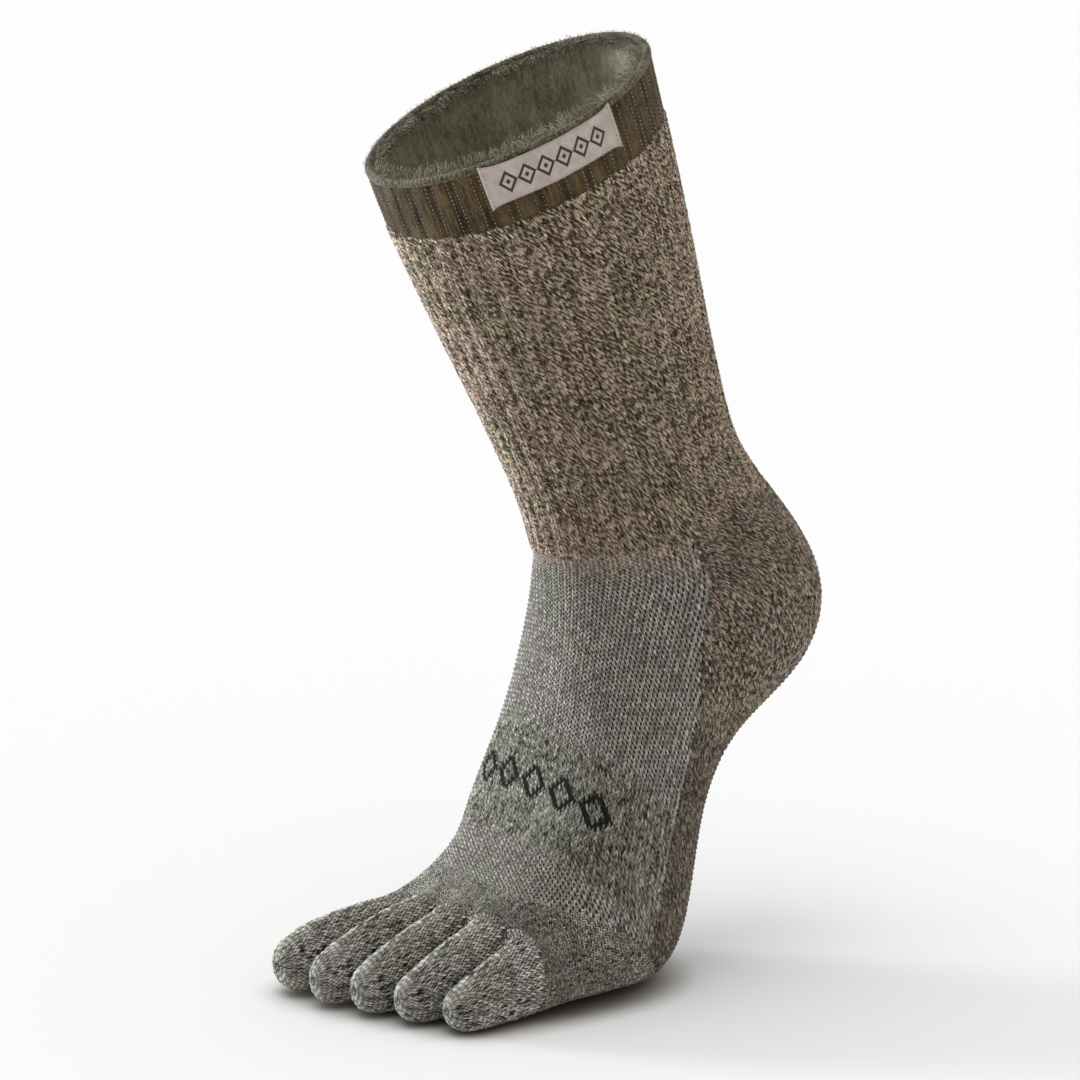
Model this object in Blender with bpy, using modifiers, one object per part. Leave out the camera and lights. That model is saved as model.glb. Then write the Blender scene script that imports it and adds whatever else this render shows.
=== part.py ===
# Five-toe crew sock for the left foot, standing on its ball and toes with the heel raised.
# Frame: +X runs out past the toes, +Y to the little-toe side, +Z up.
# The origin lies on the inside of the sole, under the ball of the foot.
import math
from collections import namedtuple

import bmesh
import bpy
from mathutils import Vector

mm = 0.001
collection_name = "toe_sock"

# Stance, in degrees
leg_lean = 21.3            # lean of the leg axis forward of upright
foot_pitch = 65.0          # fall of the foot axis below level

# Leg, in millimetres
leg_length = 191.3         # along the leg axis, from the ankle centre to the middle of the rim
cuff_depth = 112.0         # front to back at the rim
cuff_width = 112.0         # side to side at the rim
rib_relief = 0.7           # crest over valley of the broad ribs
rib_run_in = 19.0          # length over which the ribs rise from the ankle

# Foot, in millimetres
ankle_height = 152.0       # ankle centre over the floor
ankle_setback = 45.0       # ankle centre behind the ball centre
foot_length = 114.0        # along the foot axis, from the ankle centre to the back of the ball
heel_depth = 126.0         # from the instep crease to the back of the heel
ball_width = 98.0          # across the ball
ball_start = 40.0          # back of the ball behind the ball centre
ball_length = 85.0         # from the back of the ball to the clefts between the toes
ball_height = 70.0         # top of the foot over the floor, above the back of the ball
sole_press = 0.4           # how far the ball is pressed flat on the floor
instep_slant = 0.02        # how much higher the inner side of the instep is than its middle
toe_squareness = 0.7       # how much squarer than an ellipse a section across the toes is
ball_belly = 0.42          # share of a ball section's height below its widest line

# Toe pockets, in millimetres
toe_reach = 104.0          # tip of the big toe ahead of the ball centre
cleft_height = 38.0        # top of the toes over the floor, at the clefts
toe_thickness = 25.5       # big toe near its tip, top to bottom

# Knitted walls and running gaps, in millimetres
wall = 2.2
cuff_wall = 2.8
label_wall = 0.9
seam_gap = 0.4             # between neighbouring knitted zones
label_gap = 0.4            # between the label and the cuff

# Label on the cuff
label_length = 52.5
label_height = 11.0
label_bearing = 70.7       # degrees round the rim, from straight ahead towards the outer side
label_drop = 0.5           # label's upper edge below the rim

ring_points = 24           # cage points round each section, one for each rib
toe_points = 8             # cage points round each toe
label_columns = 12
label_rows = 2
subdivisions = 1
crease_angle = 50.0        # degrees past which an edge is shaded sharp
cage_swell = 1.012         # makes up for what smoothing takes off a section
toe_swell = 1.08           # the same for the toes' eight-sided rings

# Rows of the leg: station in shares of leg_length, tilt of the section in degrees,
# front and back reach in shares of cuff_depth, width in shares of cuff_width,
# roll in degrees, which lifts the outer side.
LegRow = namedtuple("LegRow", "name station tilt front back width roll")
leg_rows = [
    LegRow("rim", 1.000, -24.4, 0.504, 0.498, 0.955, 3.8),
    LegRow("band", 0.902, -26.6, 0.500, 0.475, 0.975, 0.9),
    LegRow("calf", 0.731, -19.0, 0.475, 0.445, 0.910, 0.0),
    LegRow("shank", 0.593, -19.0, 0.450, 0.422, 0.850, 0.0),
    LegRow("narrow", 0.455, -18.0, 0.422, 0.399, 0.770, 0.0),
    LegRow("ankle_top", 0.316, -16.0, 0.403, 0.382, 0.705, 0.0),
    LegRow("ankle", 0.208, -12.0, 0.396, 0.385, 0.660, 0.0),
    LegRow("rib_end", 0.109, -4.0, 0.425, 0.512, 0.635, 0.0),
]

# Rows of the foot: station in shares of foot_length, front and back reach in shares of heel_depth,
# width in shares of ball_width, spread from even spacing (0) to one pair of spaces per toe (1).
FootRow = namedtuple("FootRow", "name station tilt front back width spread")
foot_rows = [
    FootRow("heel_top", -0.055, 6.0, 0.408, 0.572, 0.715, 0.00),
    FootRow("heel", 0.040, 15.0, 0.412, 0.628, 0.720, 0.00),
    FootRow("heel_under", 0.145, 24.0, 0.392, 0.608, 0.735, 0.05),
    FootRow("arch_back", 0.280, 30.0, 0.345, 0.478, 0.765, 0.15),
    FootRow("arch", 0.440, 34.0, 0.298, 0.374, 0.810, 0.30),
    FootRow("waist", 0.640, 36.0, 0.245, 0.358, 0.865, 0.45),
    FootRow("fore_arch", 0.830, 39.0, 0.224, 0.408, 0.935, 0.60),
    FootRow("ball_back", 1.000, 44.0, 0.215, 0.462, 0.985, 0.75),
]

# Rows of the ball: reaches from its back in shares of ball_length, height of the top in shares
# of ball_height, width in shares of ball_width. The sole there lies on the floor.
BallRow = namedtuple("BallRow", "name top_reach top_height sole_reach width spread")
ball_rows = [
    BallRow("ball", 0.82, 0.79, 0.20, 1.000, 0.85),
    BallRow("joint", 0.92, 0.66, 0.46, 1.000, 0.95),
    BallRow("knuckle", 1.00, 0.575, 0.74, 0.990, 1.00),
]

# Toes: sides and tip across the foot in shares of half the ball_width, cleft and tip ahead of
# the ball centre in shares of toe_reach, root in shares of cleft_height, pad of toe_thickness.
Toe = namedtuple("Toe", "name inner outer cleft tip_across tip_reach root pad")
toes = [
    Toe("toe_big", -0.94, -0.46, 0.52, -0.765, 0.996, 0.82, 1.00),
    Toe("toe_second", -0.46, -0.10, 0.52, -0.345, 0.970, 1.00, 0.96),
    Toe("toe_third", -0.10, 0.25, 0.49, 0.01, 0.905, 1.01, 0.91),
    Toe("toe_fourth", 0.25, 0.60, 0.43, 0.37, 0.832, 1.01, 0.85),
    Toe("toe_little", 0.60, 0.97, 0.39, 0.74, 0.742, 0.88, 0.76),
]

# Rings along a toe: station in shares of its length, width in shares of its own, fall from its
# root's height (0) to its pad's (1), share of that height, lift of the underside in millimetres.
ToeRing = namedtuple("ToeRing", "station width fall height lift")
toe_base = ToeRing(0.00, 1.00, 0.00, 1.00, 1.0)
toe_rings = [
    ToeRing(0.20, 0.94, 0.22, 0.98, 1.5),
    ToeRing(0.50, 0.93, 0.58, 1.00, 0.8),
    ToeRing(0.80, 0.93, 1.00, 0.98, 0.1),
    ToeRing(0.965, 0.66, 1.00, 0.62, 3.6),
]

# Zone of the knit each face belongs to, with the colour of its yarn
zone_colours = {
    "cuff": (0.050, 0.043, 0.028, 1.0),
    "leg": (0.200, 0.185, 0.150, 1.0),
    "instep": (0.260, 0.265, 0.250, 1.0),
    "heel": (0.130, 0.120, 0.095, 1.0),
    "sole": (0.150, 0.145, 0.130, 1.0),
    "forefoot": (0.185, 0.185, 0.165, 1.0),
}
toe_colour = (0.170, 0.170, 0.150, 1.0)
label_colour = (0.480, 0.450, 0.400, 1.0)

zones = list(zone_colours) + [toe.name for toe in toes]


def clear_scene():
    for obj in list(bpy.data.objects):
        bpy.data.objects.remove(obj, do_unlink=True)


def heading(degrees):
    """Direction in the side plane, in degrees above the floor."""
    return Vector((math.cos(math.radians(degrees)), 0.0, math.sin(math.radians(degrees))))


def outward(tilt, roll):
    """Direction to the outer side of a section, lifted by its roll."""
    return Vector((0.0, math.cos(math.radians(roll)), 0.0)) + heading(tilt + 90.0) * math.sin(math.radians(roll))


def over_floor(x, y, height):
    """Point at a height over the floor, which lies one wall below the origin."""
    return Vector((x, y, height - wall))


ankle = over_floor(-ankle_setback, 0.0, ankle_height)
leg_axis = heading(90.0 - leg_lean)
foot_axis = heading(-foot_pitch)


def even_shares():
    """Across and height shares of points spaced evenly round a section, inner side first."""
    turns = [math.pi - 2.0 * math.pi * i / ring_points for i in range(ring_points)]
    return [(math.cos(turn), math.sin(turn)) for turn in turns]


def toe_shares():
    """Across shares of the same points where the toes branch off: each toe takes two spaces."""
    top = []
    for toe in toes:
        top += [toe.inner, 0.5 * (toe.inner + toe.outer)]
    top.append(toes[-1].outer)
    return [-1.0] + top + [1.0] + top[::-1]


def section(centre, front, back, half_width, tilt, spread, roll=0.0):
    """Ring of points round one section of the foot or leg."""
    forward = heading(tilt)
    sideways = outward(tilt, roll)
    power = 2.0 + toe_squareness * spread
    points = []
    for (across_even, up), across_toe in zip(even_shares(), toe_shares()):
        across = across_even + spread * (across_toe - across_even)
        rise = max(0.0, 1.0 - abs(across) ** power) ** (1.0 / power)
        if up < 0.0:
            reach = -back * rise
        else:
            reach = front * rise * (1.0 - instep_slant * spread * across)
        points.append(centre + (forward * reach + sideways * across * half_width) * cage_swell)
    return points


def leg_section(row):
    centre = ankle + leg_axis * leg_length * row.station
    return section(centre, row.front * cuff_depth, row.back * cuff_depth,
                   0.5 * row.width * cuff_width, row.tilt, 0.0, row.roll)


def foot_section(row):
    along = leg_axis * -1.0 if row.station < 0.0 else foot_axis
    centre = ankle + along * foot_length * row.station
    return section(centre, row.front * heel_depth, row.back * heel_depth,
                   0.5 * row.width * ball_width, row.tilt, row.spread)


def ball_section(row):
    top = over_floor(ball_length * row.top_reach - ball_start, 0.0, ball_height * row.top_height)
    sole = over_floor(ball_length * row.sole_reach - ball_start, 0.0, -sole_press)
    rise = top - sole
    centre = sole.lerp(top, ball_belly)
    tilt = math.degrees(math.atan2(rise.z, rise.x))
    return section(centre, (1.0 - ball_belly) * rise.length, ball_belly * rise.length,
                   0.5 * row.width * ball_width, tilt, row.spread)


def toe_frame(toe):
    """Base, axis and half width of a toe, on the floor."""
    half = 0.5 * ball_width
    base = Vector((toe_reach * toe.cleft, half * 0.5 * (toe.inner + toe.outer), 0.0))
    tip = Vector((toe_reach * toe.tip_reach, half * toe.tip_across, 0.0))
    return base, tip - base, 0.5 * half * (toe.outer - toe.inner)


def toe_height(toe, ring):
    root = cleft_height * toe.root
    pad = toe_thickness * toe.pad
    return (root + (pad - root) * ring.fall) * ring.height


def toe_loop(toe, ring, swell):
    """Points round a toe, from its upper inner corner over the top to its inner side."""
    base, axis, half_width = toe_frame(toe)
    sideways = Vector((-axis.y, axis.x, 0.0)).normalized()
    half_height = 0.5 * toe_height(toe, ring)
    centre = base + axis * ring.station
    points = []
    for k in range(toe_points):
        turn = 0.75 * math.pi - 2.0 * math.pi * k / toe_points
        side = math.cos(turn) * half_width * ring.width * swell
        rise = half_height + math.sin(turn) * half_height * swell
        points.append(centre + sideways * side + Vector((0.0, 0.0, ring.lift + rise - wall)))
    return points


def build_cage(mesh_data):
    """Cage of the whole sock: rings from the rim to the clefts, then five branching toes."""
    cage = bmesh.new()
    rings = [leg_section(row) for row in leg_rows]
    rings += [foot_section(row) for row in foot_rows]
    rings += [ball_section(row) for row in ball_rows]
    ring_verts = [[cage.verts.new(point * mm) for point in ring] for ring in rings]

    base_loops = join_base_loops(cage)
    base_ring = [base_loops[0][7]]
    for loop in base_loops:
        base_ring += [loop[0], loop[1]]
    base_ring += [base_loops[-1][2], base_loops[-1][3], base_loops[-1][4]]
    for loop in reversed(base_loops):
        base_ring += [loop[5], loop[6]]
    ring_verts.append(base_ring)

    for number, (ring, after) in enumerate(zip(ring_verts, ring_verts[1:])):
        for i in range(ring_points):
            j = (i + 1) % ring_points
            zone = ring_zone(number, i >= ring_points // 2)
            add_face(cage, (ring[i], after[i], after[j], ring[j]), zone)

    for toe, loop in zip(toes, base_loops):
        grow_toe(cage, toe, loop)
    cage.to_mesh(mesh_data)
    cage.free()


def ring_zone(number, under):
    """Zone of the band of faces that starts at a row, on the upper side or the under side."""
    rows = [row.name for row in leg_rows + foot_rows + ball_rows]
    if number < rows.index("band"):
        zone = "cuff"
    elif number < rows.index("rib_end"):
        zone = "leg"
    elif number >= rows.index("ball"):
        zone = "forefoot"
    elif not under:
        zone = "instep"
    elif number < rows.index("arch"):
        zone = "heel"
    else:
        zone = "sole"
    return zone


def join_base_loops(cage):
    """Loops where the toes start. Neighbours share the three points of the cleft between them."""
    loops = []
    for toe in toes:
        points = toe_loop(toe, toe_base, 1.0)
        if loops:
            last = loops[-1]
            shared = {0: last[2], 7: last[3], 6: last[4]}
        else:
            shared = {}
        loop = [shared.get(k) or cage.verts.new(points[k] * mm) for k in range(toe_points)]
        loops.append(loop)
    return loops


def grow_toe(cage, toe, base_loop):
    previous = base_loop
    for number, ring in enumerate(toe_rings):
        loop = [cage.verts.new(point * mm) for point in toe_loop(toe, ring, toe_swell)]
        for k in range(toe_points):
            n = (k + 1) % toe_points
            zone = toe.name if number > 0 else "forefoot"
            add_face(cage, (previous[k], loop[k], loop[n], previous[n]), zone)
        previous = loop
    base, axis, half_width = toe_frame(toe)
    pad_height = 0.5 * toe_height(toe, toe_rings[-1]) + toe_rings[-1].lift
    pole = cage.verts.new((base + axis + Vector((0.0, 0.0, pad_height - wall))) * mm)
    for k in range(0, toe_points, 2):
        after = previous[(k + 2) % toe_points]
        add_face(cage, (previous[k], pole, after, previous[k + 1]), toe.name)


def add_face(cage, verts, zone):
    face = cage.faces.new(verts)
    face.material_index = zones.index(zone)
    face.smooth = True


def smooth_form():
    """Subdivided form of the whole sock, standing flat on the floor, with ribs up the leg."""
    mesh_data = bpy.data.meshes.new("form")
    build_cage(mesh_data)
    guide = bpy.data.objects.new("form", mesh_data)
    bpy.context.scene.collection.objects.link(guide)
    smoothing = guide.modifiers.new("smooth", "SUBSURF")
    smoothing.levels = subdivisions
    smoothing.render_levels = subdivisions
    depsgraph = bpy.context.evaluated_depsgraph_get()
    form = bpy.data.meshes.new_from_object(guide.evaluated_get(depsgraph))
    bpy.data.objects.remove(guide, do_unlink=True)
    for vertex in form.vertices:
        vertex.co += rib_shift(vertex.co / mm) * mm
        vertex.co.z = max(vertex.co.z, -wall * mm)
    return form


def rib_shift(point):
    """Moves a point of the leg out on a rib and in between ribs. Ribs stand on the cage's columns."""
    arm = point - ankle
    along = arm.dot(leg_axis)
    fade = min(1.0, max(0.0, (along - leg_length * leg_rows[-1].station) / rib_run_in))
    forward = heading(leg_rows[0].tilt)
    front = arm.dot(forward)
    radial = forward * front + Vector((0.0, arm.y, 0.0))
    if fade == 0.0 or radial.length == 0.0:
        return Vector((0.0, 0.0, 0.0))
    turn = math.atan2(arm.y, front)
    return radial.normalized() * 0.5 * rib_relief * fade * math.cos(ring_points * turn)


def zone_shell(form, zone, thickness, collection):
    """Cuts one zone out of the form and gives it a wall, inward along the whole form's normals.

    Neighbouring zones so share the line of every seam, through the wall too."""
    number = zones.index(zone)
    faces = [tuple(poly.vertices) for poly in form.polygons if poly.material_index == number]
    used = sorted({index for face in faces for index in face})
    moves = edge_moves(form, faces)
    shell = bmesh.new()
    outer = {}
    inner = {}
    for index in used:
        vertex = form.vertices[index]
        place = vertex.co + moves.get(index, Vector((0.0, 0.0, 0.0)))
        outer[index] = shell.verts.new(place)
        inner[index] = shell.verts.new(place - vertex.normal * thickness * mm)
    for face in faces:
        shell.faces.new([outer[index] for index in face])
        shell.faces.new([inner[index] for index in reversed(face)])
    for first, second in open_edges(faces):
        shell.faces.new((outer[second], outer[first], inner[first], inner[second]))
    mesh_data = bpy.data.meshes.new(zone)
    shell.to_mesh(mesh_data)
    shell.free()
    mesh_data.shade_smooth()
    mesh_data.set_sharp_from_angle(angle=math.radians(crease_angle))
    obj = bpy.data.objects.new(zone, mesh_data)
    collection.objects.link(obj)
    return obj


def open_edges(faces):
    """Edges that only one of the faces has, in that face's direction."""
    edges = set()
    for face in faces:
        edges |= set(zip(face, face[1:] + face[:1]))
    return [(first, second) for first, second in edges if (second, first) not in edges]


def edge_moves(form, faces):
    """Draws the open edges of a zone back by half a seam gap, along the surface and square to the edge."""
    edges = open_edges(faces)
    ahead = dict(edges)
    behind = {second: first for first, second in edges}
    inward = {index: Vector() for index in ahead}
    face_count = dict.fromkeys(ahead, 0)
    for face in faces:
        middle = sum((form.vertices[index].co for index in face), Vector()) / len(face)
        for index in face:
            if index in inward:
                inward[index] += middle - form.vertices[index].co
                face_count[index] += 1
    moves = {}
    for index, pull in inward.items():
        normal = form.vertices[index].normal
        along = form.vertices[ahead[index]].co - form.vertices[behind[index]].co
        if face_count[index] == 1:
            reach = 0.5 * seam_gap * math.sqrt(2.0)
        else:
            pull = pull - along.normalized() * pull.dot(along.normalized())
            reach = 0.5 * seam_gap
        pull = pull - normal * pull.dot(normal)
        moves[index] = pull.normalized() * reach * mm
    return moves


def cuff_row(drop):
    """Section of the cuff a given length below the rim."""
    rim, band = leg_rows[0], leg_rows[1]
    share = drop / (leg_length * (rim.station - band.station))
    values = [upper + (lower - upper) * share for upper, lower in zip(rim[1:], band[1:])]
    return LegRow("label", *values)


def label_point(drop, turn):
    """Point of the label's back, standing off the cuff's ribs by the label's gap."""
    row = cuff_row(drop)
    stand_off = label_gap + 0.5 * rib_relief
    front = (row.front * cuff_depth + stand_off) * math.cos(turn)
    side = (0.5 * row.width * cuff_width + stand_off) * math.sin(turn)
    centre = ankle + leg_axis * leg_length * row.station
    return centre + heading(row.tilt) * front + outward(row.tilt, row.roll) * side


def build_label(collection):
    """Flat woven strip bent round the cuff, its edges level with the rim."""
    half_angle = label_length / cuff_width
    strip = bmesh.new()
    grid = []
    for row in range(label_rows + 1):
        drop = label_drop + label_height * row / label_rows
        line = []
        for column in range(label_columns + 1):
            turn = math.radians(label_bearing) + half_angle * (2.0 * column / label_columns - 1.0)
            line.append(strip.verts.new(label_point(drop, turn) * mm))
        grid.append(line)
    for upper, lower in zip(grid, grid[1:]):
        for i in range(label_columns):
            strip.faces.new((upper[i], lower[i], lower[i + 1], upper[i + 1]))
    mesh_data = bpy.data.meshes.new("label")
    strip.to_mesh(mesh_data)
    strip.free()
    obj = bpy.data.objects.new("label", mesh_data)
    collection.objects.link(obj)
    solid = obj.modifiers.new("wall", "SOLIDIFY")
    solid.thickness = label_wall * mm
    solid.offset = 1.0
    return obj


def give_material(obj, colour, roughness):
    material = bpy.data.materials.new(obj.name)
    material.use_nodes = True
    shader = material.node_tree.nodes["Principled BSDF"]
    shader.inputs["Base Color"].default_value = colour
    shader.inputs["Roughness"].default_value = roughness
    shader.inputs["Metallic"].default_value = 0.0
    obj.data.materials.clear()
    obj.data.materials.append(material)


def main():
    clear_scene()
    collection = bpy.data.collections.new(collection_name)
    bpy.context.scene.collection.children.link(collection)
    form = smooth_form()
    for zone in zones:
        thickness = cuff_wall if zone == "cuff" else wall
        obj = zone_shell(form, zone, thickness, collection)
        give_material(obj, zone_colours.get(zone, toe_colour), 0.9)
    bpy.data.meshes.remove(form)
    give_material(build_label(collection), label_colour, 0.75)


main()
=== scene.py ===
# Looks of a knitted toe sock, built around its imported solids.
# Frame: +X past the toes, +Y to the little toe, +Z up. Sizes are in millimetres.
import math

import bmesh
import bpy
import numpy as np
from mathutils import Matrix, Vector


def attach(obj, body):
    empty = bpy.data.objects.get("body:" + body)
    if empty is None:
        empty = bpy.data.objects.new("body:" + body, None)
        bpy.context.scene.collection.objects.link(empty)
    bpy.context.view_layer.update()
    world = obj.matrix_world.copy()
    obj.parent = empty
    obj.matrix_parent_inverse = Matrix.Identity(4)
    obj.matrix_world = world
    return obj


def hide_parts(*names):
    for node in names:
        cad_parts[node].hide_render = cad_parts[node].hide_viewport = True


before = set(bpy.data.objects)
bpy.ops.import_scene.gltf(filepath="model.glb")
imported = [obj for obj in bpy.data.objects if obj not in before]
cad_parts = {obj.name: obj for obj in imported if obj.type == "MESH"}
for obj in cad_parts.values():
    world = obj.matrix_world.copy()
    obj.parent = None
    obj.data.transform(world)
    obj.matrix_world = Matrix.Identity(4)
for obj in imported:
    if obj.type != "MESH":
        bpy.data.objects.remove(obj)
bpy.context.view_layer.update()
mm = 0.001

# The form of the sock, as its solids have it

form = {
    "legLean": 21.3, "footPitch": 65.0,
    "legLength": 191.3, "cuffDepth": 112.0, "cuffWidth": 112.0,
    "ankleHeight": 152.0, "ankleSetback": 45.0,
    "footLength": 114.0, "heelDepth": 126.0,
    "ballWidth": 98.0, "ballStart": 40.0, "ballLength": 85.0, "ballHeight": 70.0,
    "solePress": 0.4, "instepSlant": 0.02, "toeSquareness": 0.7, "ballBelly": 0.42,
    "toeReach": 104.0, "cleftHeight": 38.0, "toeThickness": 25.5,
    "wall": 2.2,
    "columns": 24, "toeColumns": 8,       # cage points round the foot and round a toe
    "cageSwell": 1.012, "toeSwell": 1.08,
    "fineness": 4,                        # subdivisions of the cage
}
grain = 2 ** form["fineness"]             # fine steps for each cage face
around = form["columns"]
frontColumn = around / 4                  # cage column at the middle of the front
toeStride = 100                           # cage columns from one toe's grid to the next

# station along the leg, tilt, front and back reach, width, roll that lifts the outer side
legRows = [
    (1.000, -24.4, 0.504, 0.498, 0.955, 3.8),
    (0.902, -26.6, 0.500, 0.475, 0.975, 0.9),
    (0.731, -19.0, 0.475, 0.445, 0.910, 0.0),
    (0.593, -19.0, 0.450, 0.422, 0.850, 0.0),
    (0.455, -18.0, 0.422, 0.399, 0.770, 0.0),
    (0.316, -16.0, 0.403, 0.382, 0.705, 0.0),
    (0.208, -12.0, 0.396, 0.385, 0.660, 0.0),
    (0.109, -4.0, 0.425, 0.512, 0.635, 0.0),
]
# station along the foot, tilt, front and back reach, width, spread towards the toes' spacing
footRows = [
    (-0.055, 6.0, 0.408, 0.572, 0.715, 0.00),
    (0.040, 15.0, 0.412, 0.628, 0.720, 0.00),
    (0.145, 24.0, 0.392, 0.608, 0.735, 0.05),
    (0.280, 30.0, 0.345, 0.478, 0.765, 0.15),
    (0.440, 34.0, 0.298, 0.374, 0.810, 0.30),
    (0.640, 36.0, 0.245, 0.358, 0.865, 0.45),
    (0.830, 39.0, 0.224, 0.408, 0.935, 0.60),
    (1.000, 44.0, 0.215, 0.462, 0.985, 0.75),
]
# reach of the top, its height, reach of the sole, width, spread
ballRows = [
    (0.82, 0.79, 0.20, 1.000, 0.85),
    (0.92, 0.66, 0.46, 1.000, 0.95),
    (1.00, 0.575, 0.74, 0.990, 1.00),
]
# name, inner and outer side, cleft, tip across, tip reach, root height, pad height
toes = [
    ("toe_big", -0.94, -0.46, 0.52, -0.765, 0.996, 0.82, 1.00),
    ("toe_second", -0.46, -0.10, 0.52, -0.345, 0.970, 1.00, 0.96),
    ("toe_third", -0.10, 0.25, 0.49, 0.01, 0.905, 1.01, 0.91),
    ("toe_fourth", 0.25, 0.60, 0.43, 0.37, 0.832, 1.01, 0.85),
    ("toe_little", 0.60, 0.97, 0.39, 0.74, 0.742, 0.88, 0.76),
]
# station along a toe, width, fall from root to pad height, share of that height, lift
toeBase = (0.00, 1.00, 0.00, 1.00, 1.0)
toeRings = [
    (0.20, 0.94, 0.22, 0.98, 1.5),
    (0.50, 0.93, 0.58, 1.00, 0.8),
    (0.80, 0.93, 1.00, 0.98, 0.1),
    (0.965, 0.66, 1.00, 0.62, 3.6),
]
tipRings = [(0.992, 0.50), (1.000, 0.08)]   # station, share of the last ring

# Rows of the cage where one zone of the knit ends and the next starts
rimRow, bandRow, archRow, ballRow, cleftRow = 0, 1, 12, 16, 19
# where the ribs end: cage columns from the middle of the front to the back, and rows there
ribEnd = ((0.0, 1.5, 2.6, 4.5, 5.8, 7.8, 9.7, 12.0), (8.1, 8.05, 7.5, 7.2, 7.05, 6.6, 6.7, 6.8))
# side seam between the instep and the heel and sole: cage rows, and columns past the side
sideSeam = ((5.0, 6.9, 10.3, 11.5, 12.6, 14.0, 18.0), (-0.3, -0.3, 0.0, 0.56, 0.9, 0.9, 0.65))
# where the toe zone starts on top: columns from the middle of the front, and rows there
toeStart = ((0.0, 2.5, 4.0, 5.4, 6.5), (17.4, 17.2, 16.8, 16.0, 16.0))


def heading(degrees):
    return np.array([math.cos(math.radians(degrees)), 0.0, math.sin(math.radians(degrees))])


def overFloor(x, y, height):
    return np.array([x, y, height - form["wall"]])


ankle = overFloor(-form["ankleSetback"], 0.0, form["ankleHeight"])
legAxis = heading(90.0 - form["legLean"])
footAxis = heading(-form["footPitch"])


def ringShares(spread):
    # across and height shares of the points round a section, inner side first
    turns = [math.pi - 2.0 * math.pi * i / around for i in range(around)]
    top = []
    for toe in toes:
        top += [toe[1], 0.5 * (toe[1] + toe[2])]
    top.append(toes[-1][2])
    branching = [-1.0] + top + [1.0] + top[::-1]
    return [(math.cos(a) + spread * (b - math.cos(a)), math.sin(a)) for a, b in zip(turns, branching)]


def section(centre, front, back, halfWidth, tilt, spread, roll=0.0):
    forward = heading(tilt)
    tip = math.radians(roll)
    sideways = np.array([0.0, math.cos(tip), 0.0]) + heading(tilt + 90.0) * math.sin(tip)
    power = 2.0 + form["toeSquareness"] * spread
    swell = form["cageSwell"]
    points = []
    for across, up in ringShares(spread):
        rise = max(0.0, 1.0 - abs(across) ** power) ** (1.0 / power)
        reach = -back * rise if up < 0.0 else front * rise * (1.0 - form["instepSlant"] * spread * across)
        points.append(centre + (forward * reach + sideways * across * halfWidth) * swell)
    return points


def cageRings():
    rings = []
    for station, tilt, front, back, width, roll in legRows:
        centre = ankle + legAxis * form["legLength"] * station
        rings.append(section(centre, front * form["cuffDepth"], back * form["cuffDepth"],
                             0.5 * width * form["cuffWidth"], tilt, 0.0, roll))
    for station, tilt, front, back, width, spread in footRows:
        along = legAxis * -1.0 if station < 0.0 else footAxis
        centre = ankle + along * form["footLength"] * station
        rings.append(section(centre, front * form["heelDepth"], back * form["heelDepth"],
                             0.5 * width * form["ballWidth"], tilt, spread))
    for topReach, topHeight, soleReach, width, spread in ballRows:
        top = overFloor(form["ballLength"] * topReach - form["ballStart"], 0.0,
                        form["ballHeight"] * topHeight)
        sole = overFloor(form["ballLength"] * soleReach - form["ballStart"], 0.0, -form["solePress"])
        rise = top - sole
        depth = float(np.linalg.norm(rise))
        tilt = math.degrees(math.atan2(rise[2], rise[0]))
        rings.append(section(sole + rise * form["ballBelly"], (1.0 - form["ballBelly"]) * depth,
                             form["ballBelly"] * depth, 0.5 * width * form["ballWidth"], tilt, spread))
    return rings


def toeLoop(toe, ring, swell):
    inner, outer, cleft, tipAcross, tipReach, root, pad = toe[1:]
    station, width, fall, share, lift = ring
    half = 0.5 * form["ballWidth"]
    base = np.array([form["toeReach"] * cleft, half * 0.5 * (inner + outer), 0.0])
    axis = np.array([form["toeReach"] * tipReach, half * tipAcross, 0.0]) - base
    sideways = np.array([-axis[1], axis[0], 0.0]) / np.linalg.norm(axis)
    rootHeight = form["cleftHeight"] * root
    halfHeight = 0.5 * (rootHeight + (form["toeThickness"] * pad - rootHeight) * fall) * share
    halfWidth = 0.5 * half * (outer - inner) * width
    centre = base + axis * station
    points = []
    for k in range(form["toeColumns"]):
        turn = 0.75 * math.pi - 2.0 * math.pi * k / form["toeColumns"]
        rise = lift + halfHeight + math.sin(turn) * halfHeight * swell - form["wall"]
        side = math.cos(turn) * halfWidth * swell
        points.append(centre + sideways * side + np.array([0.0, 0.0, rise]))
    return points


def toeLoops(toe):
    # the rings of one toe past its base, drawn together at the tip
    loops = [toeLoop(toe, ring, form["toeSwell"]) for ring in toeRings]
    height = (sum(loops[-1]) / form["toeColumns"])[2]
    for station, share in tipRings:
        moved = toeLoop(toe, (station,) + toeRings[-1][1:], form["toeSwell"])
        middle = sum(moved) / form["toeColumns"]
        centre = np.array([middle[0], middle[1], height])
        loops.append([centre + (point - middle) * share for point in moved])
    return loops


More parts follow.
